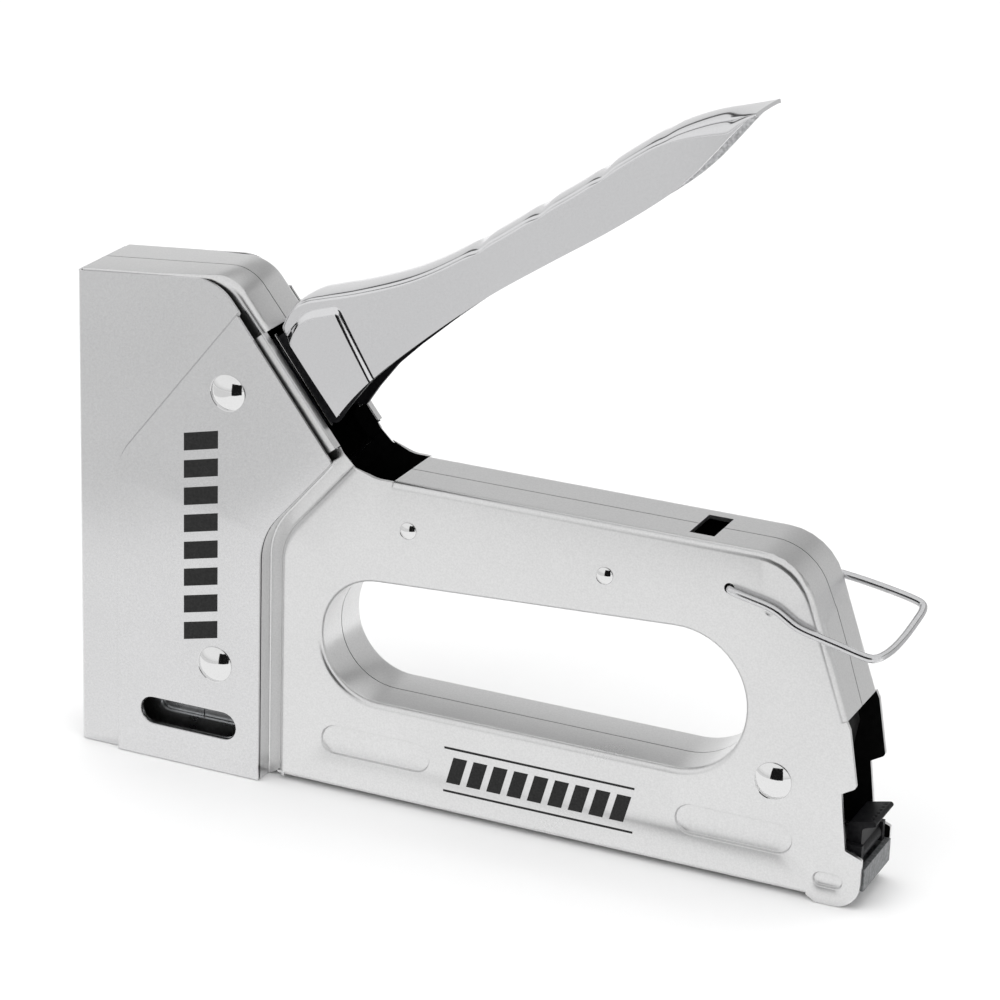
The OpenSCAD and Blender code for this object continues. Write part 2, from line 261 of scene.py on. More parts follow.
def remap(nt, value, low, high, lo_in=0.3, hi_in=0.7):
    node = nt.nodes.new("ShaderNodeMapRange")
    nt.links.new(value, node.inputs["Value"])
    node.inputs["From Min"].default_value = lo_in
    node.inputs["From Max"].default_value = hi_in
    node.inputs["To Min"].default_value = low
    node.inputs["To Max"].default_value = high
    return node.outputs[0]


def tint(nt, value, low, high, lo_in=0.3, hi_in=0.7):
    ramp = nt.nodes.new("ShaderNodeValToRGB")
    ramp.color_ramp.elements[0].position = lo_in
    ramp.color_ramp.elements[1].position = hi_in
    ramp.color_ramp.elements[0].color = (*low, 1)
    ramp.color_ramp.elements[1].color = (*high, 1)
    nt.links.new(value, ramp.inputs[0])
    return ramp.outputs[0]


def bump(nt, bsdf, height, strength, distance):
    node = nt.nodes.new("ShaderNodeBump")
    node.inputs["Strength"].default_value = strength
    node.inputs["Distance"].default_value = distance
    nt.links.new(height, node.inputs["Height"])
    nt.links.new(node.outputs[0], bsdf.inputs["Normal"])


def metal(name, low, high, rough, grain=0.05, grain_scale=2600, stretch=None, patches=45):
    mat, nt, bsdf = tree(name)
    bsdf.inputs["Metallic"].default_value = 1.0
    fine = noise(nt, grain_scale, 2.0, stretch)
    broad = noise(nt, patches, 1.0)
    mix = nt.nodes.new("ShaderNodeMath")
    mix.operation = "MULTIPLY_ADD"
    nt.links.new(fine, mix.inputs[0])
    mix.inputs[1].default_value = 0.75
    nt.links.new(remap(nt, broad, 0.0, 0.25, 0.0, 1.0), mix.inputs[2])
    nt.links.new(tint(nt, mix.outputs[0], low, high, 0.2, 0.8), bsdf.inputs["Base Color"])
    nt.links.new(remap(nt, broad, rough[0], rough[1], 0.0, 1.0), bsdf.inputs["Roughness"])
    if grain:
        bump(nt, bsdf, fine, grain, 0.00004)
    return mat


def dull(name, low, high, rough, grain, grain_scale, metallic=0.0, shine=0.25):
    mat, nt, bsdf = tree(name)
    bsdf.inputs["Metallic"].default_value = metallic
    bsdf.inputs["Specular IOR Level"].default_value = shine
    fine = noise(nt, grain_scale, 4.0)
    nt.links.new(tint(nt, fine, low, high), bsdf.inputs["Base Color"])
    nt.links.new(remap(nt, noise(nt, 90, 3.0), rough[0], rough[1]), bsdf.inputs["Roughness"])
    bump(nt, bsdf, fine, grain, 0.00008)
    return mat

SATIN = metal("satin_plate", (0.66, 0.66, 0.66), (0.80, 0.80, 0.80), (0.26, 0.32), 0.10)
COVER = metal("cover_plate", (0.62, 0.62, 0.625), (0.75, 0.75, 0.755), (0.20, 0.26), 0.08)
CHROME = metal("polished_plate", (0.70, 0.70, 0.71), (0.76, 0.76, 0.77), (0.09, 0.15), 0.03)
RIVET = metal("rivet_plate", (0.76, 0.76, 0.76), (0.82, 0.82, 0.82), (0.05, 0.09), 0.02)
WIRE = metal("bright_wire", (0.55, 0.55, 0.56), (0.76, 0.76, 0.77), (0.14, 0.24), 0.12, 900, (1, 8, 1))
STEEL = metal("plain_steel", (0.30, 0.31, 0.33), (0.44, 0.45, 0.47), (0.28, 0.46), 0.16, 1200,
              (1, 1, 6), 120)
ZINC = metal("zinc_steel", (0.46, 0.47, 0.48), (0.66, 0.67, 0.68), (0.22, 0.38), 0.12, 1500, None, 260)
SPRING = metal("spring_steel", (0.20, 0.20, 0.22), (0.34, 0.34, 0.36), (0.25, 0.40), 0.12, 1500)
CAP = dull("grey_cap", (0.10, 0.105, 0.11), (0.24, 0.245, 0.25), (0.38, 0.5), 0.3, 1100, 0.6)
BLACKED = dull("blackened_steel", (0.004, 0.004, 0.005), (0.012, 0.012, 0.013), (0.38, 0.52), 0.25,
               1300, 0.0, 0.12)
# Black moulding; where it fills the inside of the housing behind the rear opening, its black is also painted
# shade.
BLACK_AND_PAINTED_SHADE = dull("black_moulding_and_painted_shade", (0.006, 0.006, 0.006), (0.022, 0.022, 0.022), (0.40, 0.55), 0.3,
             900, 0.0, 0.35)
# Painted shade: the inner faces of the housing and nose-cover sheets are near black, standing in for the
# shade inside the tool.
PAINTED_SHADE_INSIDE = dull("painted_shade_inside", (0.001, 0.001, 0.001), (0.003, 0.003, 0.003), (0.7, 0.9), 0.2, 700, 0.0, 0.05)
RUBBER = dull("bumper_rubber", (0.010, 0.010, 0.010), (0.022, 0.022, 0.022), (0.6, 0.8), 0.4, 800)
LINING = dull("handle_lining", (0.42, 0.42, 0.43), (0.80, 0.80, 0.81), (0.35, 0.50), 0.35, 1500, 0.35, 0.5)
INK = dull("printed_ink", (0.008, 0.008, 0.008), (0.020, 0.020, 0.020), (0.42, 0.55), 0.10, 2400, 0.0, 0.2)

FINISHES = {
    "side_plate": SATIN, "cover_chrome": COVER, "handle_chrome": CHROME, "rivet_chrome": RIVET,
    "inner_steel": STEEL, "channel_steel": ZINC, "spring_steel": SPRING, "staple_wire": ZINC,
    # black_plastic parts take the black that is partly painted shade inside the housing.
    "wire_steel": WIRE, "cap_steel": CAP, "black_steel": BLACKED, "black_plastic": BLACK_AND_PAINTED_SHADE,
    "bumper_rubber": RUBBER,
}
for row in frame["record"]["subparts"]:
    node = bpy.data.objects.get(row["node"])
    if node and node.type == "MESH" and row["material_slot"] in FINISHES:
        node.data.materials.clear()
        node.data.materials.append(FINISHES[row["material_slot"]])


# ---------------------------------------------------------------- grip housing
# Outlines are lists of (x, z) or (x, z, corner radius).
GROOVE = [(60.6, 75.5), (43.6, 55.8, 12.7), (43.6, 1.2)]
GROOVE_FRONT = [(58.1, 77.7), (40.3, 57.05, 16), (40.3, 0.0)]
COVER_REAR = [(57.0, 76.4), (40.3, 57.05, 16), (40.3, 0.0)]
FLANGE = (171.8, 41.0)      # lower end of the rear flange
LEAN = 0.3589               # how far the flange leans forward, per mm of height
FLANGE_ROWS = (8, 11, 14, 17, 18.5, 19, 19.5, 20, 20.5)
HOLE = (134.6, 140.0)       # x from and to, of the hole in the top
TOP_Z = 73.6
REAR_TOP = [FLANGE] + [(FLANGE[0] - LEAN * dz, FLANGE[1] + dz) for dz in FLANGE_ROWS]
REAR_TOP += [(160.1, TOP_Z, 13), (HOLE[1], TOP_Z), (HOLE[0], TOP_Z), (69.8, TOP_Z)]
THROAT = [(69.8, TOP_Z), (66.0, TOP_Z, 8), (60.6, 75.5)]
FOOT = [(43.6, 1.2), (165.6, 1.2)]
REAR_EDGE = [(165.6, 1.2), (167.6, 0.0, 0.5), (177.0, 0.0, 5.5), (177.0, 11.4, 0.5), (173.3, 12.8, 0.3),
             (171.7, 25.2, 0.4), (174.8, 27.0, 1), (172.6, 39.4, 0.3), FLANGE]
FINGER = [(53.9, 22.8, 13.4), (150.1, 22.8, 15.4), (150.1, 54.9, 15.4), (53.9, 49.6, 13.4)]
NOSE_TOP = [(40.0, 101.6), (31.6, 112.1, 9), (14.0, 110.5), (8.0, 109.96), (-3.7, 108.9)]
LIP = [(57.4, 79.4), (39.9, 101.5)]
TAB = [(57.3, 79.0), (53.5, 83.8)]
THROAT_PATCH = [(60.4, 75.7), (58.1, 77.9), (57.3, 79.2), (53.6, 83.9), (51.5, 80), (57.5, 72.5)]
PRESSES = [(67.0, 12.2, 25.6, 6.5), (149.0, 12.1, 25.6, 6.5), (170.0, 5.3, 6.2, 3.0)]
PRESS_GROW = 0.25
PRESS_WALL = ((0, 0), (0.08, 0.05), (0.18, 0.22), (0.3, 0.56), (0.4, 0.76), (0.52, 0.82))
WIRE_HOLE = (145.3, 64.8, 1.15)
DIMPLE = (154.0, 61.5, 1.0)
DIMPLE_WALL = ((1.0, 0.0), (0.9, 0.12), (0.75, 0.16))
TOP_BEND, RIM_BEND, GROOVE_BEND, FOOT_BEND, LIP_BEND = 1.5, 1.4, 1.7, 1.0, 0.3
SHOULDER_Y = -7.999         # y where the top and rear bends end
GROOVE_Y = -7.35            # y of the groove's floor
FLOOR_ROWS = ((0, -7.6), (-0.25, -7.42), (-0.6, GROOVE_Y))
COVER_FOOT_ROWS = ((0.4, GROOVE_Y), (0.15, -7.45), (0.02, -7.7), (0, -11.15))
CLEAR_Y = -9.0              # y that the groove's top end and the lip keep out of the handle's way
LIP_Y = -11.0
TAB_ROWS = ((0.1, -10.0), (0.1, -7.6), (0.5, -7.3))
THIN = 0.25                 # share of the plate's thickness left where the squeezed handle passes


def grip_side(s):
    """The flat side with its openings, and the bends around it."""
    outer = [Vector((FOOT[0][0] + GROOVE_BEND, FOOT[0][1] + FOOT_BEND)), line(FOOT, d=FOOT_BEND)[1]]
    outer += line(REAR_EDGE, steps=6)
    outer += line(REAR_TOP, d=TOP_BEND)
    outer += line(THROAT, steps=6)
    outer += line(GROOVE, d=GROOVE_BEND)[:-1]
    holes = [line(FINGER, True, -RIM_BEND, 14), circle(*WIRE_HOLE), circle(*DIMPLE)]
    holes += [oblong(*press, PRESS_GROW) for press in PRESSES]
    s.flat(outer, holes, -BODY)
    s.bend(REAR_TOP, TOP_BEND, -BODY, SHOULDER_Y)
    top_and_rear(s)
    s.bend(FOOT, FOOT_BEND, -BODY, -7.4)
    s.bend(FINGER, RIM_BEND, -BODY, SEAM, True, -1, 14)
    s.bend(GROOVE, GROOVE_BEND, -BODY, FLOOR_ROWS[0][1])


def top_and_rear(s):
    """The face that runs in to the seam, with the hole in the top and the step in the rear flange."""
    row = line(REAR_TOP)
    s.strip([(row, y) for y in (SHOULDER_Y, -7.6, -7.2, -6.4, -5.5)])
    gap = [i for i, p in enumerate(row) if HOLE[0] - 0.1 < p.x < HOLE[1] + 0.1]
    for part in (row[:gap[0] + 1], row[gap[-1]:]):
        s.strip([(part, y) for y in (-5.5, -4.5, -3.5, -2.5, -1.5, SEAM)])
    start, out = Vector((FLANGE[0], 0, FLANGE[1])), unit(Vector((1, 0, LEAN)))
    for v in s.bm.verts:
        p = v.co / MM
        inward = p.y + 8.0
        if abs((p - start).dot(out)) < 0.05 and inward > -0.05:
            rise = 0.35 * (1 - ease((p.z - 60.2 - 0.12 * inward) / 0.9))
            v.co += out * (rise * ease((p.z - 45) / 8) * ease(inward / 0.8) * MM)


def groove_floor(s):
    s.strip([(line(GROOVE, d=d), y) for d, y in FLOOR_ROWS] + [(line(GROOVE_FRONT, d=0.4), GROOVE_Y)])
    s.strip([(line(COVER_REAR, d=d), y) for d, y in COVER_FOOT_ROWS])
    s.flat([Vector(p) for p in THROAT_PATCH], [], CLEAR_Y)


def presses(s):
    for press in PRESSES:
        rings = [(oblong(*press, PRESS_GROW - g), -BODY + dy) for g, dy in PRESS_WALL]
        s.strip(rings, True)
        s.flat(rings[-1][0], [], rings[-1][1])


def nose_top(s):
    """The top of the nose, whose edge turns down inside the cover and grows rounder to the rear."""
    top_row, low_row = line(NOSE_TOP), line(NOSE_TOP, d=9)
    inward = [unit(b - a) for a, b in zip(top_row, low_row)]
    half = [10.0 - 0.9 * ease((q.x - 14) / 4) for q in top_row]
    rings = [([(q.x, -h, q.y) for q, h in zip(low_row, half)], None)]
    for k in range(9):
        a = math.pi / 2 * k / 8
        ring = []
        for q, n, h in zip(top_row, inward, half):
            r = 0.4 + 1.3 * ease((q.x - 24) / 6)
            p = q + n * (r * (1 - math.sin(a)))
            ring.append((p.x, -(h - r * (1 - math.cos(a))), p.y))
        rings.append((ring, None))
    s.strip(rings + [(top_row, SEAM)])


def lip_and_dimple(s):
    s.bend(LIP, LIP_BEND, LIP_Y, CLEAR_Y)
    s.strip([(line(LIP, d=LIP_BEND), LIP_Y), (line(LIP, d=5), LIP_Y)])
    s.strip([(line(TAB, d=d), y) for d, y in TAB_ROWS])
    rings = [(circle(*DIMPLE[:2], r), -BODY + dy) for r, dy in DIMPLE_WALL]
    s.strip(rings, True)
    s.flat(rings[-1][0], [], rings[-1][1])


def side_panel(name, flip):
    s = Sheet()
    grip_side(s)
    groove_floor(s)
    presses(s)
    nose_top(s)
    lip_and_dimple(s)
    for v in s.bm.verts:
        x, y, z = v.co / MM
        if 47 < x < 62 and 64 < z < 86 and y > CLEAR_Y:
            v.co.y -= (y - CLEAR_Y) * ease((z - 64) / 7) * MM
    # The inner faces get the near-black painted shade.
    obj = s.finish(name, [SATIN, PAINTED_SHADE_INSIDE], PLATE, False, flip)
    sheet = obj.vertex_groups.new(name="sheet")
    for v in obj.data.vertices:
        x, y, z = v.co / MM
        sheet.add([v.index], THIN if 47 < x < 64 and 68 < z < 86 else 1.0, "REPLACE")
    obj.modifiers["sheet"].vertex_group = "sheet"
    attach(obj, "frame")
    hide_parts("right_housing" if flip else "left_housing")


# ---------------------------------------------------------------- nose cover
JOGGLE = [(4.8, 0.0), (4.8, 68.3, 14), (34.0, 105.4)]
RAMP = 0.75                 # width of the step up to the raised zone
SLOT = (22.9, 11.0, 23.9, 6.6)
SLOT_WALL = ((0.0, -RAISED), (-0.25, -RAISED + 0.3), (-0.3, -11.0))
COVER_TOP = [(34.0, 105.4), (29.1, 111.6, 10), (-3.4, 108.45)]
COVER_SHOULDER = [(40.3, 57.05), (57.0, 76.4, 1.0), (34.9, 104.27)]
NOSE_X = -4.9
NOSE_BEND = 1.5


def nose_wrap():
    s = Sheet()
    zone = line(COVER_TOP, steps=10) + [Vector((NOSE_X + NOSE_BEND, 0))] + line(JOGGLE, steps=10)[:-1]
    s.flat(zone, [], -FRONT)
    ramp = []
    for k in range(9):
        t = k / 8
        ramp.append((line(JOGGLE, d=-RAMP * t, steps=10), -FRONT - (RAISED - FRONT) * ease(t)))
    s.strip(ramp)
    raised = line(JOGGLE, d=-RAMP, steps=10)[::-1]
    raised += line(COVER_REAR)[:0:-1]
    raised += line(COVER_SHOULDER, steps=6)[1:-1]
    s.flat(raised, [oblong(*SLOT)], -RAISED)
    s.strip([(oblong(*SLOT, grow), y) for grow, y in SLOT_WALL], True)
    wall = []
    for k in range(9):
        a = math.pi / 2 * k / 8
        dx = NOSE_BEND * (1 - math.sin(a))
        y = -FRONT + NOSE_BEND * (1 - math.cos(a))
        wall.append(([(NOSE_X + dx, y, 0), (NOSE_X + dx, y, 108.3 + 0.1 * dx)], None))
    wall.append(([(NOSE_X, 0, 0), (NOSE_X, 0, 108.3)], None))
    s.strip(wall)
    s.mirrored()
    # The inner faces get the near-black painted shade.
    obj = s.finish("nose_wrap", [COVER, PAINTED_SHADE_INSIDE], COVER_PLATE, True)
    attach(obj, "frame")
    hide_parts("nose_cover")


# ---------------------------------------------------------------- handle
UPPER = [(41.8, 102.8), (42.9, 105.4), (44.5, 107.6), (46.9, 109.3), (51.0, 110.7), (57.8, 112.9),
         (66.5, 116.3), (73.9, 119.9), (82, 124.8), (90.3, 130.4), (97.7, 135.8), (106.9, 142.3),
         (113.7, 147.6), (121.6, 153.4), (127.0, 156.7), (133.0, 159.4), (138.5, 161.1), (144.2, 162.2)]
LOWER = [(55.9, 85.0), (58.4, 88.4), (61.4, 92.0), (65.2, 96.0), (70.5, 100.9), (77.2, 106.7),
         (84.7, 112.9), (92.2, 118.6), (103.3, 126.2), (114.9, 134.0), (125.5, 141.9), (131.5, 147.4),
         (136.0, 152.7), (139.6, 157.2), (142.0, 159.9), (143.9, 161.3)]
STEP_FRONT = (Vector((54.3, 107.5)), Vector((62.8, 93.7)))
STEP_REAR = (Vector((57.3, 106.9)), Vector((64.0, 95.3)))
STEP_RISE = 0.9             # how far the front of the handle's side stands out
FRONT_EDGE = [(40.7, 100.3), (54.1, 82.7)]
FRONT_EDGE_SECTION = ((-0.25, 6.9), (-0.2, 7.15), (0.0, 7.3), (0.2, 7.3), (0.4, 7.15), (0.45, 6.9))


def spline(points):
    """A smooth curve through the points, as a function of the share of its length."""
    pts = [Vector(p) for p in points]
    fine = []
    for i in range(len(pts) - 1):
        p0, p1, p2, p3 = pts[max(i - 1, 0)], pts[i], pts[i + 1], pts[min(i + 2, len(pts) - 1)]
        for k in range(20):
            t = k / 20
            fine.append(0.5 * (2 * p1 + (p2 - p0) * t + (2 * p0 - 5 * p1 + 4 * p2 - p3) * t * t
                               + (3 * p1 - p0 - 3 * p2 + p3) * t ** 3))
    fine.append(pts[-1])
    along = [0.0]
    for a, b in zip(fine, fine[1:]):
        along.append(along[-1] + (b - a).length)

    def at(share):
        want, j = along[-1] * share, 0
        while j < len(along) - 2 and along[j + 1] < want:
            j += 1
        t = (want - along[j]) / max(1e-9, along[j + 1] - along[j])
        return fine[j].lerp(fine[j + 1], min(1, max(0, t)))

    return at


def beyond(p, edge):
    """Distance of p behind a line, in mm."""
    d = unit(edge[1] - edge[0])
    return (p - edge[0]).dot(Vector((-d.y, d.x)))

def row_shares():
    """Where the rows lie along the handle: close together over its front, where the step is."""
    near, far, front = 90, 130, 0.15085
    shares = [front * i / (near - 1) for i in range(near)]
    return shares + [front + (1 - front) * (i + 1) / far for i in range(far)]


def step_level(p, share, below_top):
    """How far p stands on the raised front of the handle's side, from 0 to 1."""
    if share > 0.4:
        return 0.0
    behind, ahead = beyond(p, STEP_FRONT), -beyond(p, STEP_REAR)
    level = 1.0 if behind <= 0 else 0.0
    if behind > 0 and ahead > 0:
        level = ease(ease(ahead / (ahead + behind)))
    return level * ease((below_top - 3.0) / 1.8)


def handle_row(share, u, l):
    """One row of the skin, from the near side's lower edge over the top to the far side's."""
    up = unit(u - l)
    height = (u - l).length
    half = HANDLE - 1.0 + 0.5 * ease((share - 0.16) / 0.2) - 0.3 * ease((share - 0.8) / 0.2)
    r = min(0.7 + 1.7 * ease((share - 0.8) / 0.15), height * 0.5)
    crown = min(0.8 + 0.8 * ease(share / 0.35), height * 0.4)
    wave = 0.5 - 0.5 * math.cos(share * 2 * math.pi * 7.4 + 2.2)
    dip = 0.45 * wave ** 6 * ease((share - 0.34) * 12) * ease((0.86 - share) * 12)
    side = height - r - crown
    bulge = 0.15 * (1 - ease((share - 0.72) / 0.15))
    row = []
    for k in range(41):
        t = k / 40
        p = l + up * (side * t)
        out = half + bulge * math.sin(math.pi * t) + STEP_RISE * step_level(p, share, height - side * t)
        row.append((p.x, -out, p.y))
    quarter = [math.pi / 2 * k / 8 for k in range(1, 9)]
    for a in quarter:
        p = l + up * (side + (r - dip) * math.sin(a))
        row.append((p.x, -(half - r + r * math.cos(a)), p.y))
    for a in quarter:
        p = l + up * (side + r - dip + crown * math.sin(a))
        row.append((p.x, -(half - r) * math.cos(a), p.y))
    return row + [(x, -y, z) for x, y, z in row[:-1]][::-1]


def handle_skin():
    top, low = spline(UPPER), spline(LOWER)
    rows = [handle_row(share, top(share), low(share)) for share in row_shares()]
    fold = [(x - 0.25, y * 0.955, z - 0.2) for x, y, z in rows[0]]
    s = Sheet()
    s.strip([(row, None) for row in [fold] + rows])
    obj = s.finish("handle_skin", [CHROME, LINING], HANDLE_PLATE, True)
    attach(obj, "handle")
    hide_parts("handle_shell")


def handle_front_edge():
    """The bright cut edge down the front of each side of the handle."""
    s = Sheet()
    for side in (-1, 1):
        s.strip([([(x + dx, side * y, z + dx * 0.8) for x, z in FRONT_EDGE], None)
                 for dx, y in FRONT_EDGE_SECTION])
    obj = s.finish("handle_front_edge", [RIVET], 0.1, True, edge=0.03)
    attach(obj, "handle")


# ---------------------------------------------------------------- lock wire
def wire():
    y, r = 10.45, 0.85
    pts = [(145.3, -7.6, 64.8), (145.3, -9.6, 64.8), (146.2, -y, 64.6), (152, -y, 63.5),
           (155.6, -y, 62.6), (158.2, -y, 60.9), (160.6, -y, 59.5), (165, -y, 58.5), (170, -y, 57.4),
           (174.6, -y, 56.3), (176.6, -y + 0.3, 56.0), (177.8, -8.6, 56.2), (178.8, -5, 56.6),
           (179.5, 0, 57.6), (180.0, 5, 59.1), (180.3, 8.6, 60.2), (179.9, y, 60.9), (178, y, 61.7),
           (172, y, 62.9), (163.6, y, 64.2), (155, y, 64.7), (146.4, y, 64.9), (145.3, 9.6, 64.8),
           (145.3, 7.6, 64.8)]
    curve = bpy.data.curves.new("lock_wire", "CURVE")
    curve.dimensions = "3D"
    curve.bevel_depth = r * MM
    curve.bevel_resolution = 5
    curve.resolution_u = 6
    curve.use_fill_caps = True
    sp = curve.splines.new("NURBS")
    sp.points.add(len(pts) - 1)
    for q, p in zip(sp.points, pts):
        q.co = (p[0] * MM, p[1] * MM, p[2] * MM, 1)
    sp.order_u = 3
    sp.use_endpoint_u = True
    tmp = bpy.data.objects.new("wire_tmp", curve)
    bpy.context.scene.collection.objects.link(tmp)
    bpy.context.view_layer.update()
    mesh = bpy.data.meshes.new_from_object(tmp.evaluated_get(bpy.context.evaluated_depsgraph_get()))
    bpy.data.objects.remove(tmp)
    mesh.name = "lock_wire"
    obj = bpy.data.objects.new("lock_wire", mesh)
    bpy.context.scene.collection.objects.link(obj)
    mesh.materials.clear()
    mesh.materials.append(WIRE)
    mesh.polygons.foreach_set("use_smooth", [True] * len(mesh.polygons))
    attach(obj, "lock_wire")
    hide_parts("wire_loop")

# ---------------------------------------------------------------- printed marks
BAR_X, BAR_RISE, BAR_HEIGHT, BAR_PITCH = (22.0, 30.2), 1.9, 4.0, 6.2
RULE_X, RULE_Z, RULE_HEIGHT = (83.4, 127.0), (16.0, 6.0), 0.5
BLOCK_Z, BLOCK_LEAN, BLOCK_WIDTH, BLOCK_PITCH = (8.2, 14.3), 1.6, 3.2, 4.7


def marks():
    """Plain bars and lines, in place of the printing."""
    bm = bmesh.new()

    def patch(points, y):
        bm.faces.new([bm.verts.new((x * MM, y * MM, z * MM)) for x, z in points])

    x0, x1 = BAR_X
    for i in range(8):
        z = 29.6 + i * BAR_PITCH
        patch([(x0, z), (x1, z + BAR_RISE), (x1, z + BAR_RISE + BAR_HEIGHT), (x0, z + BAR_HEIGHT)],
              -RAISED - PRINT)
    x0, x1 = RULE_X
    for z in RULE_Z:
        patch([(x0, z), (x1, z), (x1, z + RULE_HEIGHT), (x0, z + RULE_HEIGHT)], -BODY - PRINT)
    z0, z1 = BLOCK_Z
    for i in range(9):
        x = RULE_X[0] + 0.6 + i * BLOCK_PITCH
        patch([(x, z0), (x + BLOCK_WIDTH, z0), (x + BLOCK_WIDTH + BLOCK_LEAN, z1), (x + BLOCK_LEAN, z1)],
              -BODY - PRINT)
    obj = solid("printed_marks", bm, [INK])
    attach(obj, "frame")


# ---------------------------------------------------------------- rivets
def turned(bm, x, z, profile, steps=56):
    """A shape turned about a line across the tool at (x, z); profile is (radius, y)."""
    rings = []
    for radius, y in profile:
        count = 1 if radius < 1e-6 else steps
        angles = [2 * math.pi * i / steps for i in range(count)]
        rings.append([bm.verts.new(((x + radius * math.cos(a)) * MM, y * MM, (z + radius * math.sin(a)) * MM))
                      for a in angles])
    for a, b in zip(rings, rings[1:]):
        for i in range(steps):
            j = (i + 1) % steps
            quad = [a[i % len(a)], a[j % len(a)], b[j % len(b)], b[i % len(b)]]
            bm.faces.new(list(dict.fromkeys(quad)))


def head(radius, rise, base):
    """Half of a rivet, from the crown of its dome to its shank."""
    ball = (radius ** 2 + rise ** 2) / (2 * rise)
    edge = math.asin(min(1.0, radius / ball)) * 0.97
    dome = [(ball * math.sin(edge * k / 12), -(base + rise - ball * (1 - math.cos(edge * k / 12))))
            for k in range(13)]
    return dome + [(radius, -(base + 0.16)), (radius, -base + 0.05), (radius * 0.6, -base + 0.05)]


def rivet(name, node, places, radius, rise, base):
    bm = bmesh.new()
    half = head(radius, rise, base)
    for x, z in places:
        turned(bm, x, z, half + [(r, -y) for r, y in half[::-1]])
    bmesh.ops.recalc_face_normals(bm, faces=bm.faces)
    obj = solid(name, bm, [RIVET], smooth=30)
    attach(obj, "frame")
    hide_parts(node)


# ---------------------------------------------------------------- springs
def coil(name, node, place, radius, wire_r, turns, steps, around):
    """A round-wire spring; place(a, b, t, c) puts a point of its wire at share t of its length."""
    bm = bmesh.new()
    total = turns * steps
    rings = []
    for i in range(total + 1):
        a = 2 * math.pi * i / steps
        ring = []
        for k in range(around):
            b = 2 * math.pi * k / around
            rad = radius + wire_r * math.cos(b)
            p = place(rad * math.cos(a), rad * math.sin(a), i / total, wire_r * math.sin(b))
            ring.append(bm.verts.new(Vector(p) * MM))
        rings.append(ring)
    for a, b in zip(rings, rings[1:]):
        for k in range(around):
            bm.faces.new((a[k], a[(k + 1) % around], b[(k + 1) % around], b[k]))
    bm.faces.new(rings[0][::-1])
    bm.faces.new(rings[-1])
    bmesh.ops.recalc_face_normals(bm, faces=bm.faces)
    obj = solid(name, bm, [SPRING])
    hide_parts(node)
    return obj


def springs():
    """The drive spring stands between the plunger and the frame, the feed spring behind the pusher."""
    x, low, high, inset = 8.2, 34.2, 105.4, 0.89
    obj = coil("drive_spring", "main_spring",
               lambda a, b, t, c: (x + a, b, low + inset + (high - low - 2 * inset) * t + c),
               radius=3.95, wire_r=0.88, turns=10, steps=28, around=10)
    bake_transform(obj)
    z, front, rear, gap = 6.6, 34.0, 170.8, 0.35568
    obj = coil("feed_spring", "pusher_spring",
               lambda a, b, t, c: (front + gap + (rear - front - 2 * gap) * t + c, a, z + b),
               radius=2.1, wire_r=0.34, turns=28, steps=20, around=8)
    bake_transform(obj)


springs()
rivet("rivet_pivot", "pivot_rivet", [(32.5, 87.7)], 4.1, 1.7, RAISED)
rivet("rivet_nose", "nose_rivet", [(29.6, 25.2)], 4.1, 1.7, RAISED)
rivet("rivet_rear", "rear_rivet", [(157.0, 24.8)], 4.1, 1.6, BODY)
rivet("rivets_grip", "grip_pins", [(73.7, 63.5), (118.2, 62.2)], 1.9, 0.7, BODY)
side_panel("side_panel_left", False)
side_panel("side_panel_right", True)
nose_wrap()
handle_skin()
handle_front_edge()
wire()
marks()


# ---------------------------------------------------------------- stage
ROOM_AHEAD = ((0.0, 0.70), (0.08, 0.85), (0.25, 1.0), (0.7, 1.0), (1.0, 0.92))
ROOM_BEHIND = ((0.0, 0.88), (0.42, 0.84), (0.47, 0.08), (0.55, 0.08), (0.62, 0.95), (1.0, 0.92))
TABLE = 0.0002      # height of the cards that lie on the floor, m


def floor():
    bm = bmesh.new()
    bmesh.ops.create_grid(bm, x_segments=2, y_segments=2, size=6)
    obj = staged("floor", bm)
    obj.location.z = -0.0002
    mat, nt, bsdf = tree("floor_paper")
    bsdf.inputs["Roughness"].default_value = 0.9
    nt.links.new(tint(nt, noise(nt, 3.0), (0.93, 0.93, 0.93), (0.96, 0.96, 0.96)), bsdf.inputs["Base Color"])
    obj.data.materials.append(mat)


def staged(name, bm):
    """An object from bm that belongs to the studio, not to the tool."""
    mesh = bpy.data.meshes.new(name)
    bm.to_mesh(mesh)
    bm.free()
    obj = bpy.data.objects.new(name, mesh)
    bpy.context.scene.collection.objects.link(obj)
    return obj


def tones(nt, height, stops):
    """Grey levels by height of the direction, from 0 at the horizon to 1 straight up."""
    ramp = nt.nodes.new("ShaderNodeValToRGB")
    els = ramp.color_ramp.elements
    for el, (pos, v) in zip((els[0], els[1]), (stops[0], stops[-1])):
        el.position = pos
        el.color = (v, v, v, 1)
    for pos, v in stops[1:-1]:
        els.new(pos).color = (v, v, v, 1)
    nt.links.new(height, ramp.inputs[0])
    return ramp.outputs[0]


def room():
    """Soft light from all around, with a dark band high up behind the tool."""
    world = bpy.data.worlds.new("studio")
    bpy.context.scene.world = world
    world.use_nodes = True
    nt = world.node_tree
    nt.nodes.clear()
    out = nt.nodes.new("ShaderNodeOutputWorld")
    back = nt.nodes.new("ShaderNodeBackground")
    coord = nt.nodes.new("ShaderNodeTexCoord")
    split = nt.nodes.new("ShaderNodeSeparateXYZ")
    mix = nt.nodes.new("ShaderNodeMixRGB")
    nt.links.new(coord.outputs["Generated"], split.inputs[0])
    nt.links.new(remap(nt, split.outputs["Y"], 0.0, 1.0, -0.05, 0.15), mix.inputs[0])
    nt.links.new(tones(nt, split.outputs["Z"], ROOM_AHEAD), mix.inputs[1])
    nt.links.new(tones(nt, split.outputs["Z"], ROOM_BEHIND), mix.inputs[2])
    nt.links.new(mix.outputs[0], back.inputs["Color"])
    back.inputs["Strength"].default_value = 0.95
    nt.links.new(back.outputs[0], out.inputs[0])


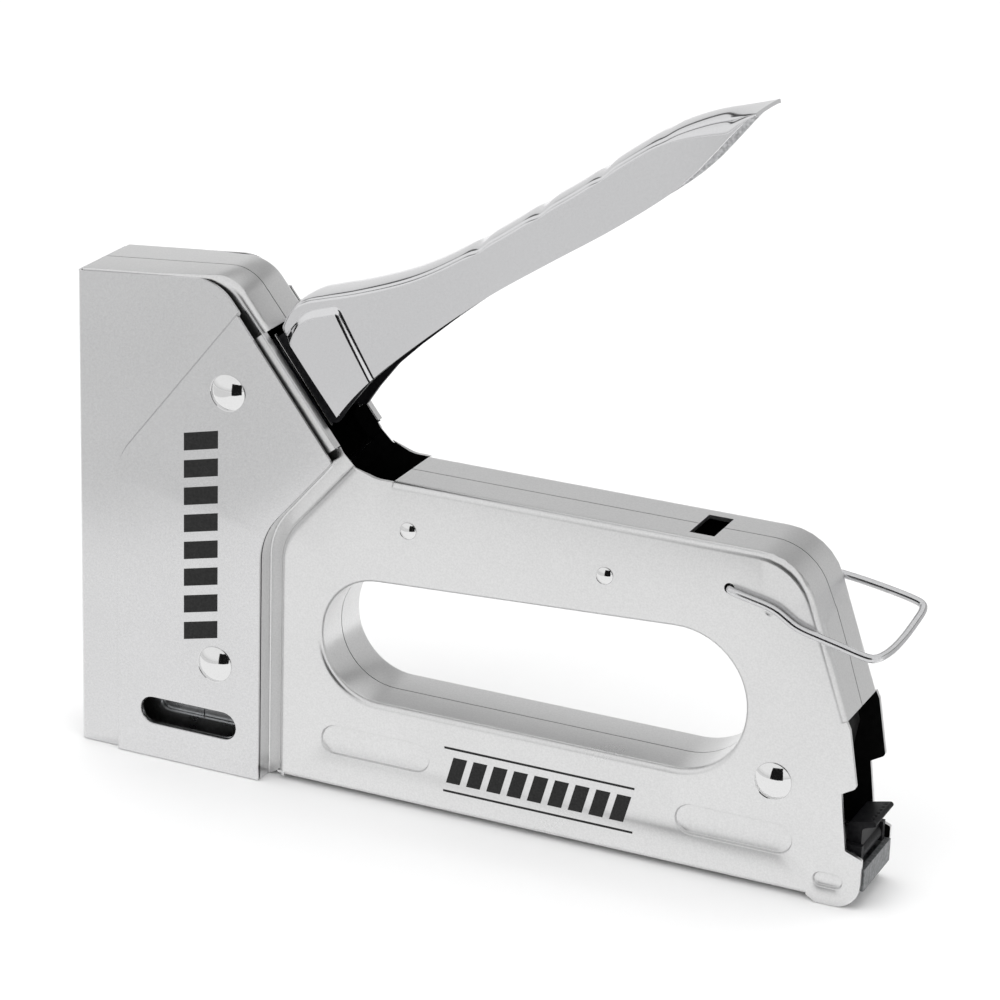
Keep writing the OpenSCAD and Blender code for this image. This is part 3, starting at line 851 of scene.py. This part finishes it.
def card(name, corners, shade):
    """A studio card that only shows as a reflection. Corners are in metres."""
    bm = bmesh.new()
    bm.faces.new([bm.verts.new(c) for c in corners])
    obj = staged(name, bm)
    mat = bpy.data.materials.new(name)
    mat.use_nodes = True
    nt = mat.node_tree
    nt.nodes.clear()
    end = nt.nodes.new("ShaderNodeOutputMaterial")
    glow = nt.nodes.new("ShaderNodeEmission")
    nt.links.new(glow.outputs[0], end.inputs[0])
    shade(nt, glow)
    obj.data.materials.append(mat)
    obj.visible_camera = obj.visible_diffuse = obj.visible_shadow = False
    obj.visible_transmission = obj.visible_volume_scatter = False


def table_tone(nt, glow):
    """Slightly darker to the front left."""
    coord = nt.nodes.new("ShaderNodeTexCoord")
    dot = nt.nodes.new("ShaderNodeVectorMath")
    dot.operation = "DOT_PRODUCT"
    dot.inputs[1].default_value = (0.79, 0.615, 0)
    nt.links.new(coord.outputs["Object"], dot.inputs[0])
    nt.links.new(remap(nt, dot.outputs["Value"], 0.76, 1.0, -0.152, -0.130), glow.inputs["Color"])


def plain_tone(low, high):
    def shade(nt, glow):
        nt.links.new(tint(nt, noise(nt, 4.0), [low] * 3, [high] * 3), glow.inputs["Color"])
    return shade


def cards():
    grey, black = plain_tone(0.58, 0.68), plain_tone(0.004, 0.01)
    card("table_card", ((-1.5, -1.5, TABLE), (0.6, -1.5, TABLE), (0.6, -0.012, TABLE), (-1.5, -0.012, TABLE)),
         table_tone)
    card("black_card", ((0.06, -0.29, 0), (0.30, -0.25, 0), (0.30, -0.25, 0.26), (0.06, -0.29, 0.26)), black)
    card("back_card", ((0.16, 0.60, 0), (0.80, 0.24, 0), (0.80, 0.24, 0.34), (0.16, 0.60, 0.34)), grey)
    card("rear_card", ((0.19, 0.03, TABLE), (1.4, 0.03, TABLE), (1.4, 1.4, TABLE), (0.19, 1.4, TABLE)), grey)


def area(name, loc, size, power, target=(0.085, 0, 0.07)):
    """A soft light that doesn't show as a reflection."""
    light = bpy.data.lights.new(name, "AREA")
    light.shape = "RECTANGLE"
    light.size, light.size_y = size
    light.energy = power
    obj = bpy.data.objects.new(name, light)
    bpy.context.scene.collection.objects.link(obj)
    obj.location = loc
    obj.visible_glossy = False
    obj.rotation_euler = (Vector(target) - Vector(loc)).to_track_quat("-Z", "Y").to_euler()


def camera():
    cam = bpy.data.cameras.new("view")
    obj = bpy.data.objects.new("view", cam)
    bpy.context.scene.collection.objects.link(obj)
    cam.sensor_width = 36
    cam.lens = 129.83256
    cam.clip_start = 0.01
    right = Vector((0.909495, 0.414569, 0.030844))
    down = Vector((0.173592, -0.311318, -0.934316))
    forward = Vector((-0.377736, 0.855110, -0.355109))
    turn = Matrix((right, -down, -forward)).transposed()
    obj.matrix_world = Matrix.Translation((0.373479, -0.641288, 0.336686)) @ turn.to_4x4()
    bpy.context.scene.camera = obj
    bpy.context.scene.view_settings.view_transform = "Standard"


floor()
room()
cards()
area("key", (-0.5, -1.1, 1.3), (1.2, 1.2), 7)
area("fill", (1.3, -0.9, 0.9), (1.0, 1.4), 4)
area("top", (0.1, 0.5, 1.5), (1.6, 1.2), 7)
camera()
